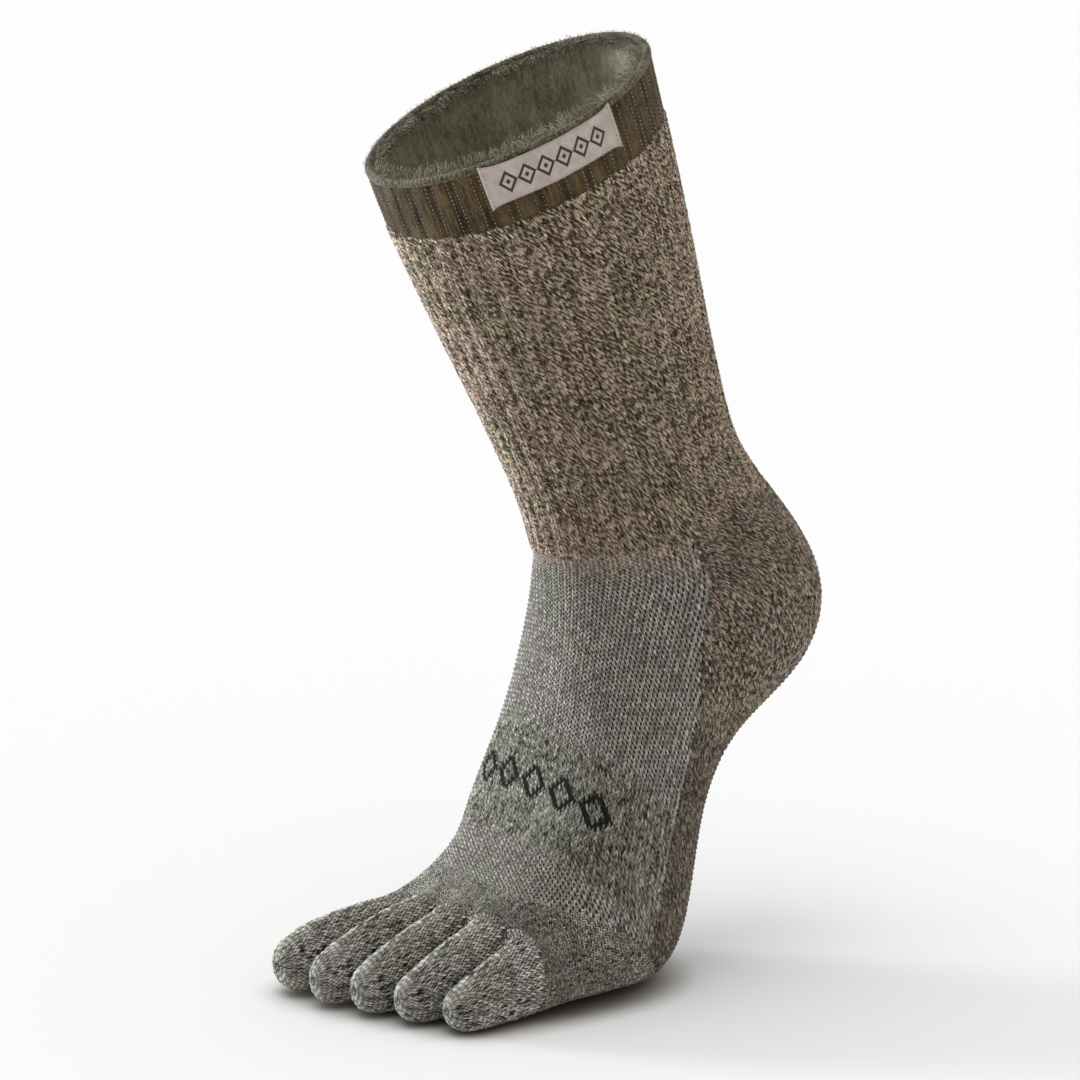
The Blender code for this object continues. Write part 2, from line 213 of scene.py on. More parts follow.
def buildCage():
    # cage with its own UV grid: columns and rows of the foot, and a stride further for each toe;
    # neighbouring toes share the three points of their cleft
    cage = bmesh.new()
    grid = cage.loops.layers.uv.new("grid")
    ringVerts = [[cage.verts.new(point) for point in ring] for ring in cageRings()]
    baseLoops = []
    for toe in toes:
        points = toeLoop(toe, toeBase, 1.0)
        shared = {0: baseLoops[-1][2], 7: baseLoops[-1][3], 6: baseLoops[-1][4]} if baseLoops else {}
        baseLoops.append([shared.get(k) or cage.verts.new(points[k]) for k in range(form["toeColumns"])])
    baseRing = [baseLoops[0][7]]
    for loop in baseLoops:
        baseRing += [loop[0], loop[1]]
    baseRing += [baseLoops[-1][2], baseLoops[-1][3], baseLoops[-1][4]]
    for loop in reversed(baseLoops):
        baseRing += [loop[5], loop[6]]
    ringVerts.append(baseRing)

    def strip(upper, lower, row, firstColumn):
        count = len(upper)
        for i in range(count):
            j = (i + 1) % count
            face = cage.faces.new((upper[i], lower[i], lower[j], upper[j]))
            corners = ((i, row), (i, row + 1), (i + 1, row + 1), (i + 1, row))
            for loop, (column, r) in zip(face.loops, corners):
                loop[grid].uv = (firstColumn + column, r)

    for row, (upper, lower) in enumerate(zip(ringVerts, ringVerts[1:])):
        strip(upper, lower, row, 0)
    for number, (toe, previous) in enumerate(zip(toes, baseLoops)):
        for row, points in enumerate(toeLoops(toe)):
            loop = [cage.verts.new(point) for point in points]
            strip(previous, loop, row, toeStride * (number + 1))
            previous = loop
    mesh = bpy.data.meshes.new("cage")
    cage.to_mesh(mesh)
    cage.free()
    return bpy.data.objects.new("cage", mesh)


def smoothGrids():
    # the smooth form as grids of points, one for the foot and one for each toe
    cage = buildCage()
    bpy.context.scene.collection.objects.link(cage)
    smooth = cage.modifiers.new("smooth", "SUBSURF")
    smooth.levels = smooth.render_levels = form["fineness"]
    smooth.uv_smooth = "NONE"
    mesh = bpy.data.meshes.new_from_object(cage.evaluated_get(bpy.context.evaluated_depsgraph_get()))
    bpy.data.objects.remove(cage)
    places = np.empty(len(mesh.vertices) * 3)
    mesh.vertices.foreach_get("co", places)
    places = places.reshape(-1, 3)
    corners = np.empty(len(mesh.loops), dtype=np.int32)
    mesh.loops.foreach_get("vertex_index", corners)
    uv = np.empty(len(mesh.loops) * 2)
    mesh.uv_layers["grid"].data.foreach_get("uv", uv)
    column, row = np.rint(uv.reshape(-1, 2) * grain).astype(int).T
    grids = []
    for number in range(len(toes) + 1):
        first = toeStride * number * grain
        chosen = (column >= first) & (column < first + toeStride // 2 * grain)
        c, r = column[chosen] - first, row[chosen]
        points = np.zeros((r.max() + 1, c.max() + 1, 3))
        points[r, c] = places[corners[chosen]]
        grids.append(withNormals(points))
    bpy.data.meshes.remove(mesh)
    return grids[0], dict(zip([toe[0] for toe in toes], grids[1:]))


def withNormals(points):
    along = np.gradient(points, axis=0)
    closed = np.concatenate([points[:, -2:-1], points, points[:, 1:2]], axis=1)
    around = (closed[:, 2:] - closed[:, :-2]) * 0.5
    normals = np.cross(along, around)
    normals /= np.maximum(np.linalg.norm(normals, axis=2, keepdims=True), 1e-9)
    return points, normals


def sampleGrid(grid, u, v, turning=False):
    # points and normals of the smooth form at cage columns u and cage rows v
    if turning:
        u = np.mod(u, around)
    x = np.clip(u * grain, 0, grid[0].shape[1] - 1.0001)
    y = np.clip(v * grain, 0, grid[0].shape[0] - 1.0001)
    i, j = y.astype(int), x.astype(int)
    fy, fx = (y - i)[..., None], (x - j)[..., None]
    found = []
    for field in grid:
        upper = field[i, j] * (1 - fx) + field[i, j + 1] * fx
        lower = field[i + 1, j] * (1 - fx) + field[i + 1, j + 1] * fx
        found.append(upper * (1 - fy) + lower * fy)
    found[1] /= np.maximum(np.linalg.norm(found[1], axis=-1, keepdims=True), 1e-9)
    return found


footGrid, toeGrids = smoothGrids()
print("form: fine grid", footGrid[0].shape)


def fromFront(u):
    # cage columns from the middle of the front, the same on both sides
    turn = np.mod(np.asarray(u) - frontColumn, around)
    return np.minimum(turn, around - turn)


def ribEndAt(u):
    return np.interp(fromFront(u), *ribEnd)


def toeStartAt(u):
    return np.interp(fromFront(u), *toeStart)


def isUpper(u, v):
    # on the instep's side of the side seams
    return fromFront(u) < around / 4 + np.interp(v, *sideSeam)


# Meshes from grids of points

bakeMargin = 0.01   # empty edge of the map that textures bake to


def gridObject(name, points, maps, closed, keep=None, cap=False):
    # quads between the points, or those that keep chooses; maps holds the UV maps, one value a point
    rows, columns = points.shape[:2]
    used = columns - 1 if closed else columns
    numbers = np.arange(rows * used).reshape(rows, used)
    if closed:
        numbers = np.concatenate([numbers, numbers[:, :1]], axis=1)

    def corners(field):
        return np.stack([field[:-1, :-1], field[1:, :-1], field[1:, 1:], field[:-1, 1:]], axis=2)

    quads = corners(numbers)
    chosen = np.ones(quads.shape[:2], bool) if keep is None else keep
    quads = quads[chosen]
    places = points[:, :used].reshape(-1, 3)
    kept, quads = np.unique(quads, return_inverse=True)
    quads = quads.reshape(-1, 4)
    faces = quads.tolist()
    if cap:
        faces.append(list(range(len(kept) - 1, len(kept) - 1 - used, -1)))
    mesh = bpy.data.meshes.new(name)
    mesh.from_pydata((places[kept] * mm).tolist(), [], faces)
    layers = {}
    for title, values in maps.items():
        uv = corners(values)[chosen].reshape(-1, 2)
        layers[title] = np.concatenate([uv, np.zeros((used if cap else 0, 2)) + uv[-1]])
    low, high = layers["stitch"].min(0), layers["stitch"].max(0)
    layers["OFBake"] = (layers["stitch"] - low) / (high - low) * (1 - 2 * bakeMargin) + bakeMargin
    for title, uv in layers.items():
        mesh.uv_layers.new(name=title).data.foreach_set("uv", uv.ravel())
    mesh.update()
    mesh.shade_smooth()
    obj = bpy.data.objects.new(name, mesh)
    bpy.context.scene.collection.objects.link(obj)
    return obj


knit = {
    "wales": 6.0,             # stitches across one cage column, 144 round the sock
    "course": 1.5,            # height of a stitch
    "across": 4, "along": 2,  # steps of the mesh in a wale and in a course
    "slant": 1.0,             # courses that a stitch's legs drop to its middle
    "apex": 0.5,              # where the legs meet, as a share of the stitch from its left
    "relief": 0.44,           # crest of a stitch over the smooth form
    "sink": 0.18,             # valley between stitches under it
    "edgeShare": 0.26,        # relief left at the sides of a stitch
    "flatShare": 0.6,         # relief of a sheet with one step for a course
    "fullSpacing": 1.3,       # width of a stitch that has its full relief
    "wander": 0.25,           # how unevenly the stitches stand
    "ribs": 0.0,              # how deep the grooves between ribs are
    "ribCrest": -0.2,         # how far a rib's crest stands up, as a share of that
    "ribFade": 0.35,          # cage rows over which the ribs end
    "ribWales": 5,            # 36 ribs round the leg
    "offset": 0.0,            # how far the sheet lies from the smooth form
    "seed": 11,
}


def courseRows(grid, u0, u1, v0, v1, height, turning):
    # cage rows at even lengths along the knit, as many as its courses
    v = np.linspace(v0, v1, 200)
    u = np.linspace(u0, u1, 25)
    points = sampleGrid(grid, *np.meshgrid(u, v), turning)[0]
    steps = np.linalg.norm(np.diff(points, axis=0), axis=2).mean(1)
    length = np.concatenate([[0.0], np.cumsum(steps)])
    count = max(2, round(length[-1] / height))
    return count, lambda course: np.interp(course / count * length[-1], length, v)


def knitSheet(name, grid, u0, u1, v0, v1, zone=None, closed=False, cap=False, inward=False, **changes):
    # one zone of the knit, each stitch a pair of raised slanting legs
    look = {**knit, **changes}
    turning = grid is footGrid
    across, along = look["across"], look["along"]
    wales = round((u1 - u0) * look["wales"])
    firstWale = round(u0 * look["wales"])
    courses, rowAt = courseRows(grid, u0, u1, v0, v1, look["course"], turning)
    steps = np.arange(wales * across + 1)
    share = steps % across / across
    w = steps // across + np.interp(share, (0.0, 0.5, 1.0), (0.0, look["apex"], 1.0))
    w, c = np.meshgrid(w, np.arange(courses * along + 1) / along)
    inside = np.clip(np.minimum(c, courses - c), 0.0, 1.0)
    middle = (1.0 - np.abs(2.0 * share - 1.0)) * inside
    course = c + look["slant"] * middle * np.where(c > courses - look["slant"], 0.5, 1.0)
    u = u0 + w / look["wales"]
    v = rowAt(np.clip(course, 0.0, courses))
    points, normals = sampleGrid(grid, u, v, turning)

    random = np.random.default_rng(look["seed"] + len(name))
    uneven = 1.0 + look["wander"] * random.uniform(-1.0, 1.0, w.shape)
    if closed:
        uneven[:, -1] = uneven[:, 0]
    crest = np.where((c % 1.0) == 0.5, 1.0, 0.0) if along > 1 else np.full(w.shape, look["flatShare"])
    atLegs = share * 2.0 % 1.0 == 0.5 if across > 2 else share == 0.5
    height = np.where(atLegs, 1.0, look["edgeShare"])
    spacing = np.linalg.norm(np.gradient(points, axis=1), axis=2) * across
    fit = np.clip(spacing / look["fullSpacing"], 0.0, 1.0)
    lift = crest * height * uneven * (look["relief"] + look["sink"]) - look["sink"]
    groove = np.clip(np.cos(2.0 * np.pi * (w + firstWale - 0.5) / look["ribWales"]), look["ribCrest"], 1.0)
    fade = look["ribs"] * (np.clip((ribEndAt(u) - v) / look["ribFade"], 0.0, 1.0) if turning else 0.0)
    lift = lift * fit - groove * fade + look["offset"]
    points = points + normals * lift[..., None]
    if not inward:
        points[..., 2] = np.maximum(points[..., 2], -form["wall"])
    maps = {"stitch": np.stack([w + firstWale, course], axis=-1), "place": np.stack([u, v], axis=-1)}
    keep = None
    if zone:
        keep = zone(0.5 * (u[:-1, :-1] + u[1:, 1:]), 0.5 * (v[:-1, :-1] + v[1:, 1:]))
    if inward:
        points = points[:, ::-1]
        maps = {title: values[:, ::-1] for title, values in maps.items()}
        keep = None if keep is None else keep[:, ::-1]
    return gridObject(name, points, maps, closed, keep, cap)


# Materials

class Number:
    # a socket that Python's operators can work on
    def __init__(self, nodes, socket):
        self.nodes, self.socket = nodes, socket

    def maths(self, operation, *others, clamp=False):
        values = [self] + list(others)
        node = self.nodes.make("ShaderNodeMath", {"operation": operation, "use_clamp": clamp},
                               **{str(k): value for k, value in enumerate(values)})
        return Number(self.nodes, node.outputs[0])

    def __add__(self, other):
        return self.maths("ADD", other)

    def __sub__(self, other):
        return self.maths("SUBTRACT", other)

    def __mul__(self, other):
        return self.maths("MULTIPLY", other)

    def __truediv__(self, other):
        return self.maths("DIVIDE", other)

    def __gt__(self, other):
        return self.maths("GREATER_THAN", other)

    def __lt__(self, other):
        return self.maths("LESS_THAN", other)

    def __radd__(self, other):
        return self.maths("ADD", other)

    def __rmul__(self, other):
        return self.maths("MULTIPLY", other)

    def __rsub__(self, other):
        node = self.nodes.make("ShaderNodeMath", {"operation": "SUBTRACT"}, **{"0": other, "1": self})
        return Number(self.nodes, node.outputs[0])

    def whole(self):
        return self.maths("FLOOR")

    def part(self):
        return self.maths("FRACT")

    def size(self):
        return self.maths("ABSOLUTE")

    def wave(self):
        return self.maths("SINE")

    def root(self):
        return self.maths("SQRT")

    def power(self, other):
        return self.maths("POWER", other)

    def least(self, other):
        return self.maths("MINIMUM", other)

    def most(self, other):
        return self.maths("MAXIMUM", other)

    def clamped(self):
        return self.maths("ADD", 0.0, clamp=True)

    def between(self, low, high):
        return ((self - low) * (1.0 / (high - low))).clamped()


class Tree:
    # a node tree; make takes a node's type, its settings, and values or links for its sockets
    def make(self, kind, settings=None, **inputs):
        node = self.tree.nodes.new(kind)
        for key, value in (settings or {}).items():
            setattr(node, key, value)
        for key, value in inputs.items():
            self.feed(node.inputs[int(key)] if key.isdigit() else node.inputs[key.replace("_", " ")], value)
        return node

    def feed(self, socket, value):
        if isinstance(value, Number):
            value = value.socket
        if isinstance(value, bpy.types.NodeSocket):
            self.tree.links.new(value, socket)
        else:
            socket.default_value = value


class Finish(Tree):
    # the node tree of one material
    def __init__(self, name, roughness, sheen):
        self.material = bpy.data.materials.new(name)
        self.material.use_nodes = True
        self.tree = self.material.node_tree
        self.shader = self.tree.nodes["Principled BSDF"]
        for title, value in (("Roughness", roughness), ("Specular IOR Level", 0.10),
                             ("Sheen Weight", sheen), ("Sheen Roughness", 0.5)):
            self.shader.inputs[title].default_value = value

    def number(self, node, output=0):
        return Number(self, node.outputs[output])

    def vector(self, x, y, z=0.0):
        return self.number(self.make("ShaderNodeCombineXYZ", None, X=x, Y=y, Z=z))

    def map(self, title):
        uv = self.number(self.make("ShaderNodeUVMap", {"uv_map": title}))
        split = self.make("ShaderNodeSeparateXYZ", None, Vector=uv)
        return self.number(split, 0), self.number(split, 1)

    def place(self):
        return self.number(self.make("ShaderNodeTexCoord"), 3)

    def noise(self, vector, scale, detail=2.0):
        node = self.make("ShaderNodeTexNoise", None, Vector=vector, Scale=scale, Detail=detail)
        return self.number(node)

    def chance(self, vector):
        return self.number(self.make("ShaderNodeTexWhiteNoise", {"noise_dimensions": "3D"}, Vector=vector))

    def mix(self, factor, first, second, how="MIX"):
        node = self.make("ShaderNodeMix", {"data_type": "RGBA", "blend_type": how}, **{"0": factor})
        for key, value in ((6, first), (7, second)):
            self.feed(node.inputs[key], value if isinstance(value, Number) else (*value, 1.0))
        return self.number(node, 2)

    def shaded(self, colour, shade):
        return self.mix(1.0, colour, self.vector(shade, shade, shade), "MULTIPLY")

    def finish(self, colour, height, distance):
        self.feed(self.shader.inputs["Base Color"], colour)
        bump = self.make("ShaderNodeBump", None, Height=height, Distance=distance, Strength=1.0)
        self.feed(self.shader.inputs["Normal"], bump.outputs[0])
        return self.material


marl = {
    "light": (0.73, 0.555, 0.445), "light2": (0.655, 0.545, 0.395),   # two casts of the light ply
    "dark": (0.040, 0.025, 0.014), "dark2": (0.036, 0.029, 0.010),    # and of the dark ply
    "left": 1.02, "right": 0.30,   # share of left and right stitch legs that show the light ply
    "runs": 0.35,         # how much that varies along a course
    "patches": 1.1,       # how much it varies over the cloth
    "runNoise": (0.23, 3.7),                          # changes in a wale and in a course
    "patchNoise": 95.0, "castNoise": 60.0, "fibreNoise": 2400.0,   # changes in a metre
    "contrast": 1.9,      # how sharply light turns to dark
    "core": 0.36,         # how narrow the light ply shows on the crest of the yarn; the dark ply at its sides is partly the marl and partly painted shade between the courses
    "gaps": 0.5,          # painted shade at the ends of a stitch's legs, where they meet the next stitches
    "streak": 0.0,        # share of slanting streaks that run over several stitches
    "dots": 0.0,          # dark openings, one a stitch: painted shade in the holes of the knit
    "course": 1.5, "slant": 1.0, "apex": 0.5,   # as in the knit's mesh
    "ribShade": 0.0,      # painted shade in the grooves between ribs
    "bump": 0.30,
    "band": False,        # whether the instep's band and the fading of the leg's marl show
    "motif": None,        # first wale and middle course of the row of diamonds
}
# twist of the plies: turns along and across a leg of a stitch, and how much they show; a right leg
# has twice the turns along it, and is the left one's mirror image across
plies = {"along": 0.9, "across": 1.4, "stitches": 2, "share": 0.25}
# light ply of a stitch: sharpness at the sides of its crest, past which the dark ply stands in partly for
# painted shade between the courses, least light and what chance adds to it
crest = {"sharpness": 2.6, "least": 0.55, "chance": 0.6}
# shade of the yarn: the painted shade that its relief takes between the courses and at the ends of the legs,
# and what its fibres and each stitch take or add at random
yarnShade = {"relief": 0.45, "fibre": 0.8, "stitch": 0.44}
# streaks: wale and course parts of the direction across and along them, and how often they change
# there, then their sharpness, what patches and single stitches add, and their share of light
streaks = {"across": (1.37, -1.09, 1.22), "along": (0.96, 1.56, 0.38),
           "sharpness": 12, "patches": 2.4, "stitches": 1.2, "lightness": 0.30}
# openings, painted shade in the holes of the knit: direction of their length, how slim they are along and
# across it, softness of the edge, and how much they darken the yarn
openings = {"lean": (0.6, 0.8), "slim": (1.1, 3.6), "edge": 3.0, "shade": 0.5}
# darker band over the instep, in cage rows, with a soft wavering edge
instepBand = {"start": 13.1, "end": 15.5, "edge": 0.4, "waver": 0.5, "noise": 120.0,
              "share": 0.55, "cast": 0.8, "dots": 0.6}
# marl of the leg that fades out over the top of the instep, in cage rows, earlier at the sides
legFade = {"start": 8.2, "end": 10.0, "sides": 0.2, "waver": 1.6, "noise": 150.0,
           "share": 0.35, "cast": 0.75, "dots": 0.5}
# row of plain diamonds knitted into the instep
motif = {
    "wales": 10.0,        # from one diamond to the next
    "reach": 3.6,         # half its width, in wales
    "stroke": 0.8,        # half the width of its line
    "lean": 1.1,          # wales that the line goes sideways in a course
    "row": 14.15, "start": 2.3, "count": 5,   # cage row of the middle, first column, diamonds
    "yarn": (0.008, 0.007, 0.006), "cover": 0.95,
}


def varied(value, share):
    # factor round 1 that a value from 0 to 1 moves by a share in all
    return value * share + (1 - share / 2)


def ribGroove(w):
    # 1 in the groove between two ribs, -1 on the crest of a rib
    return ((w - 0.5) * (2 * math.pi / knit["ribWales"]) + math.pi / 2).wave()


def streaksOver(f, w, c, patch, draw):
    # noise drawn out along a slant over several stitches
    across, along = [(w * wale + c * course) * often
                     for wale, course, often in (streaks["across"], streaks["along"])]
    streak = f.noise(f.vector(across, along), 1.0, 1.0)
    return ((streak - 0.5) * streaks["sharpness"] + (patch - 0.5) * streaks["patches"]
            + (draw - 0.5) * streaks["stitches"] + streaks["lightness"]).clamped()


def bandOver(f, place, v):
    # 1 on the instep's darker band, soft at its edges
    row = v + (f.noise(place, instepBand["noise"], 1.0) - 0.5) * instepBand["waver"]
    start, end, edge = instepBand["start"], instepBand["end"], instepBand["edge"]
    return row.between(start, start + edge) * (1 - row.between(end, end + edge))


def fadeOver(f, place, u, v):
    # 1 where the leg's marl shows, falling to 0 down the instep
    waver = (f.noise(place, legFade["noise"], 2.0) - 0.5) * legFade["waver"]
    row = v + (u - frontColumn).size() * legFade["sides"] + waver
    return 1 - row.between(legFade["start"], legFade["end"])


def openingOver(w, c, course, draw):
    # one slim slanting opening a stitch, every second wale half a course lower: the mask of the painted
    # shade in the holes
    x, y = openings["lean"]
    long, short = openings["slim"]
    dx = (w.part() - 0.5) * 2.0
    dy = ((c + w.whole() * 0.5).part() - 0.5) * course
    reach = ((dx * x + dy * y).power(2) * long + (dx * y - dy * x).power(2) * short).root()
    return ((1 - reach) * openings["edge"] * (0.45 + draw * 0.9)).clamped()


def motifOver(w, row, first, middleCourse):
    # 1 on the stitches that outline the diamonds
    step = ((w - first) / motif["wales"]).part() * motif["wales"]
    dx = (step.whole() - motif["wales"] / 2).size()
    dy = (row.whole() - middleCourse).size()
    line = (dx + dy * motif["lean"] - motif["reach"]).size() < motif["stroke"]
    return line * (w > first) * (w < first + motif["count"] * motif["wales"])


def marlKnit(name, **changes):
    # yarn of a light and a dark ply, drawn leg by leg along the stitches of the knit, with painted shade
    # between the stitches
    look = {**marl, **changes}
    f = Finish(name, 0.95, 0.05)
    w, c = f.map("stitch")
    place = f.place()
    along = (w.part() / look["apex"]).least((1 - w.part()) / (1 - look["apex"]))
    side = w.part() > look["apex"]
    row = c - along * look["slant"]
    across = row.part()
    leg = w.whole() * 2 + side
    draw = f.chance(f.vector(leg, row.whole()))
    draw2 = f.chance(f.vector(leg, row.whole(), 7.3))
    waleRun, courseRun = look["runNoise"]
    runs = f.noise(f.vector(w * waleRun, row.whole() * courseRun), 1.0, 1.0)
    patch = f.noise(place, look["patchNoise"], 3.0)
    share = (look["left"] - side * (look["left"] - look["right"])
             + (runs - 0.5) * look["runs"] + (patch - 0.5) * look["patches"])
    if look["band"]:
        u, v = f.map("place")
        fade = fadeOver(f, place, u, v)
        band = bandOver(f, place, v)
        share = share - fade * legFade["share"] - band * instepBand["share"]

    twist = (along * (plies["along"] + side * plies["along"])
             + across * (plies["across"] - side * (2 * plies["across"])) + draw2 * plies["stitches"])
    ply = (twist * (2 * math.pi)).wave()
    hump = 1 - (across * 2 - 1).power(2)
    ends = 1 - (along * 2 - 1).size().power(3)
    light = ((share - draw) * look["contrast"] + 0.5 + ply * plies["share"]).clamped()
    # the light ply narrows to the crest of the yarn, so the dark ply at its sides is partly painted shade
    # between the courses
    light = light * ((hump - look["core"]) * crest["sharpness"]).clamped()
    light = light * (crest["least"] + draw2 * crest["chance"])
    # painted shade: the ends of each leg, where it meets the next stitch, turn towards the dark ply
    light = light * (ends * look["gaps"] + 1 - look["gaps"])
    if look["streak"]:
        drawn = streaksOver(f, w, c, patch, draw)
        # the streaks' light ply also fades between the courses: painted shade there
        light = light * (1 - look["streak"]) + drawn * (hump * 0.5 + 0.5) * look["streak"]

    cast = ((f.noise(place, look["castNoise"], 2.0) - 0.5) * 4 + 0.4).clamped()
    if look["band"]:
        cast = cast.most(band * instepBand["cast"])
    lightColour = f.mix(cast, look["light"], look["light2"])
    darkColour = f.mix(cast, look["dark"], look["dark2"])
    if look["band"]:
        lightColour = f.mix(fade * legFade["cast"], lightColour, marl["light"])
        darkColour = f.mix(fade * legFade["cast"], darkColour, marl["dark"])

    # painted shade: the colour darkens between the courses and at the ends of the legs, following the yarn's
    # relief
    relief = (hump * 1.5).least(1.0) * (ends * 0.5 + 0.5)
    fibre = f.noise(place, look["fibreNoise"], 1.0)
    shade = relief * yarnShade["relief"] + (1 - yarnShade["relief"])
    shade = shade * varied(fibre, yarnShade["fibre"]) * varied(draw2, yarnShade["stitch"])
    # painted shade in the openings between the stitches: the light ply gives way and the colour darkens
    if look["dots"]:
        dot = openingOver(w, c, look["course"], draw2) * look["dots"]
        if look["band"]:
            dot = dot * (1 - band * instepBand["dots"]) * (1 - fade * legFade["dots"])
        light = light * (1 - dot)
        shade = shade * (1 - dot * openings["shade"])
    # painted shade in the grooves between the ribs
    if look["ribShade"]:
        shade = shade * (1 - ribGroove(w).most(0.0) * look["ribShade"])
    colour = f.mix(light, darkColour, lightColour)
    if look["motif"]:
        colour = f.mix(motifOver(w, row, *look["motif"]) * motif["cover"], colour, motif["yarn"])
    colour = f.shaded(colour, shade)
    return f.finish(colour, relief * 0.7 + ply * 0.10 + fibre * 0.35, look["bump"] * mm)


# plain ribbed yarn: noise along each half wale, over the cloth and in its fibres, what the streaks,
# patches and single stitches do to its cast, and its shade: painted shade from its relief between the
# courses, and random tone from its fibres
ribbed = {"streakNoise": (3.1, 0.12), "patchNoise": 60.0, "fibreNoise": 2200.0,
          "streaks": 2.4, "patches": 1.6, "stitches": 0.5, "relief": 0.3, "fibre": 0.7, "bump": 0.22}


def ribbedKnit(name, light, dark, ribShade, spread=1.0):
    # plain yarn in ribs, its cast changing from wale to wale, with painted shade between the courses and in
    # the grooves between ribs
    f = Finish(name, 0.95, 0.15)
    w, c = f.map("stitch")
    place = f.place()
    row = c - (1 - (w.part() * 2 - 1).size()) * knit["slant"]
    across = row.part()
    draw = f.chance(f.vector((w * 2).whole(), row.whole()))
    waleChange, courseChange = ribbed["streakNoise"]
    streak = f.noise(f.vector((w * 2).whole() * waleChange, c * courseChange), 1.0, 2.0)
    patch = f.noise(place, ribbed["patchNoise"], 2.0)
    fibre = f.noise(place, ribbed["fibreNoise"], 1.0)
    blend = ((streak - 0.5) * ribbed["streaks"] * spread + (patch - 0.5) * ribbed["patches"]
             + (draw - 0.5) * ribbed["stitches"] + 0.5).clamped()
    hump = 1 - (across * 2 - 1).power(2)
    # painted shade between the courses, from the relief, and in the grooves between the ribs
    shade = (hump * ribbed["relief"] + (1 - ribbed["relief"])) * varied(fibre, ribbed["fibre"])
    shade = shade * (1 - ribShade - ribGroove(w) * ribShade)
    colour = f.shaded(f.mix(blend, dark, light), shade)
    return f.finish(colour, hump * 0.6 + fibre * 0.4, ribbed["bump"] * mm)


fuzz = {"patchNoise": 90.0, "tufts": 3, "patches": 2, "bump": 0.3}


def plainFuzz(name, light, dark, scale=900.0):
    # brushed yarn with no stitch to see
    f = Finish(name, 0.97, 0.25)
    place = f.place()
    tuft = f.noise(place, scale, 2.0)
    patch = f.noise(place, fuzz["patchNoise"], 2.0)
    blend = ((tuft - 0.5) * fuzz["tufts"] + (patch - 0.5) * fuzz["patches"] + 0.5).clamped()
    return f.finish(f.mix(blend, dark, light), tuft, fuzz["bump"] * mm)


# The pieces

def givePiece(obj, material, slot, *nodes):
    obj.data.materials.clear()
    obj.data.materials.append(material)
    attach(obj, "root")
    if nodes:
        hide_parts(*nodes)


# grid, cage columns and rows of the instep's sheet, and columns of the heel's and the sole's
footSpan = (footGrid, -1.2, 13.2, 6.4, 17.6)
backSpan = (11.5, 24.5)
seam = 0.03                  # cage rows that zones overlap at a seam
ribbedWales = 7.5            # wales to a cage column in the cuff and the leg
instepCourse = 1.8           # height of the instep's stitches
leaningStitch = {"apex": 0.62, "slant": 1.2, "course": 1.9}
coarseStitch = {"wales": 5.0, "course": 2.1}
count, rowAt = courseRows(*footSpan, instepCourse, True)
motifCourse = round(float(np.interp(motif["row"], rowAt(np.arange(count + 1)), np.arange(count + 1))))

instepMarl = {
    "light": (0.52, 0.465, 0.435), "light2": (0.50, 0.49, 0.405),
    "dark": (0.032, 0.026, 0.020), "dark2": (0.030, 0.030, 0.018),
    "left": 1.15, "right": 0.95, "patches": 0.5, "runs": 0.3, "core": 0.05, "gaps": 0.0,
    "contrast": 2.5, "dots": 0.85, "streak": 0.42, "course": instepCourse, "band": True,
    "motif": (motif["start"] * knit["wales"], motifCourse),
}
heelMarl = {
    "light": (0.50, 0.395, 0.325), "light2": (0.445, 0.38, 0.28),
    "dark": (0.028, 0.019, 0.012), "dark2": (0.027, 0.022, 0.010),
    "left": 0.92, "right": 0.34, "patches": 0.8, "streak": 0.66, **leaningStitch,
}
soleMarl = {**heelMarl, "light": (0.32, 0.26, 0.21), "light2": (0.285, 0.25, 0.185)}
toeMarl = {
    "light": (0.66, 0.63, 0.57), "light2": (0.595, 0.58, 0.475),
    "dark": (0.011, 0.010, 0.007), "dark2": (0.012, 0.012, 0.006),
    "left": 0.77, "right": 0.74, "patches": 0.8, "runs": 0.3, "core": 0.42, "gaps": 0.7,
    "contrast": 3.0, "course": coarseStitch["course"], "streak": 0.14,
}
ballMarl = {**toeMarl, "light": (0.50, 0.475, 0.415), "light2": (0.45, 0.435, 0.355),
            "course": knit["course"], "streak": 0.42}

legLook = marlKnit("legMarl", ribShade=0.24, streak=0.72, **leaningStitch)
instepLook = marlKnit("instepMarl", **instepMarl)
heelLook = marlKnit("heelMarl", **heelMarl)
soleLook = marlKnit("soleMarl", **soleMarl)
toeLook = marlKnit("toeMarl", **toeMarl)
ballLook = marlKnit("ballMarl", **ballMarl)
cuffLook = ribbedKnit("cuffKnit", (0.134, 0.092, 0.044), (0.040, 0.026, 0.014), 0.17)
liningLook = ribbedKnit("liningKnit", (0.36, 0.33, 0.235), (0.15, 0.133, 0.084), 0.05, spread=0.5)

cuff = knitSheet("cuff_knit", footGrid, 0, around, rimRow, bandRow, closed=True, relief=0.22, sink=0.10,
                 offset=-0.35, wales=ribbedWales, ribs=0.6, course=1.3)
givePiece(cuff, cuffLook, "cuff_rib", "cuff")
for name, start, end in (("leg_front_knit", 0, 8.15), ("leg_back_knit", around // 2, 7.1)):
    leg = knitSheet(name, footGrid, start, start + around // 2, bandRow, end, lambda u, v: v < ribEndAt(u),
                    wales=ribbedWales, ribs=0.85, **leaningStitch)
    givePiece(leg, legLook, "leg_rib", "leg")
instep = knitSheet("instep_knit", *footSpan, lambda u, v: isUpper(u, v) & (v > ribEndAt(u) - seam)
                   & (v < toeStartAt(u) + seam), course=instepCourse)
givePiece(instep, instepLook, "instep_knit", "instep")
heel = knitSheet("heel_knit", footGrid, *backSpan, footSpan[3], archRow,
                 lambda u, v: ~isUpper(u, v) & (v > ribEndAt(u) - seam), **leaningStitch)
givePiece(heel, heelLook, "heel_terry", "heel")
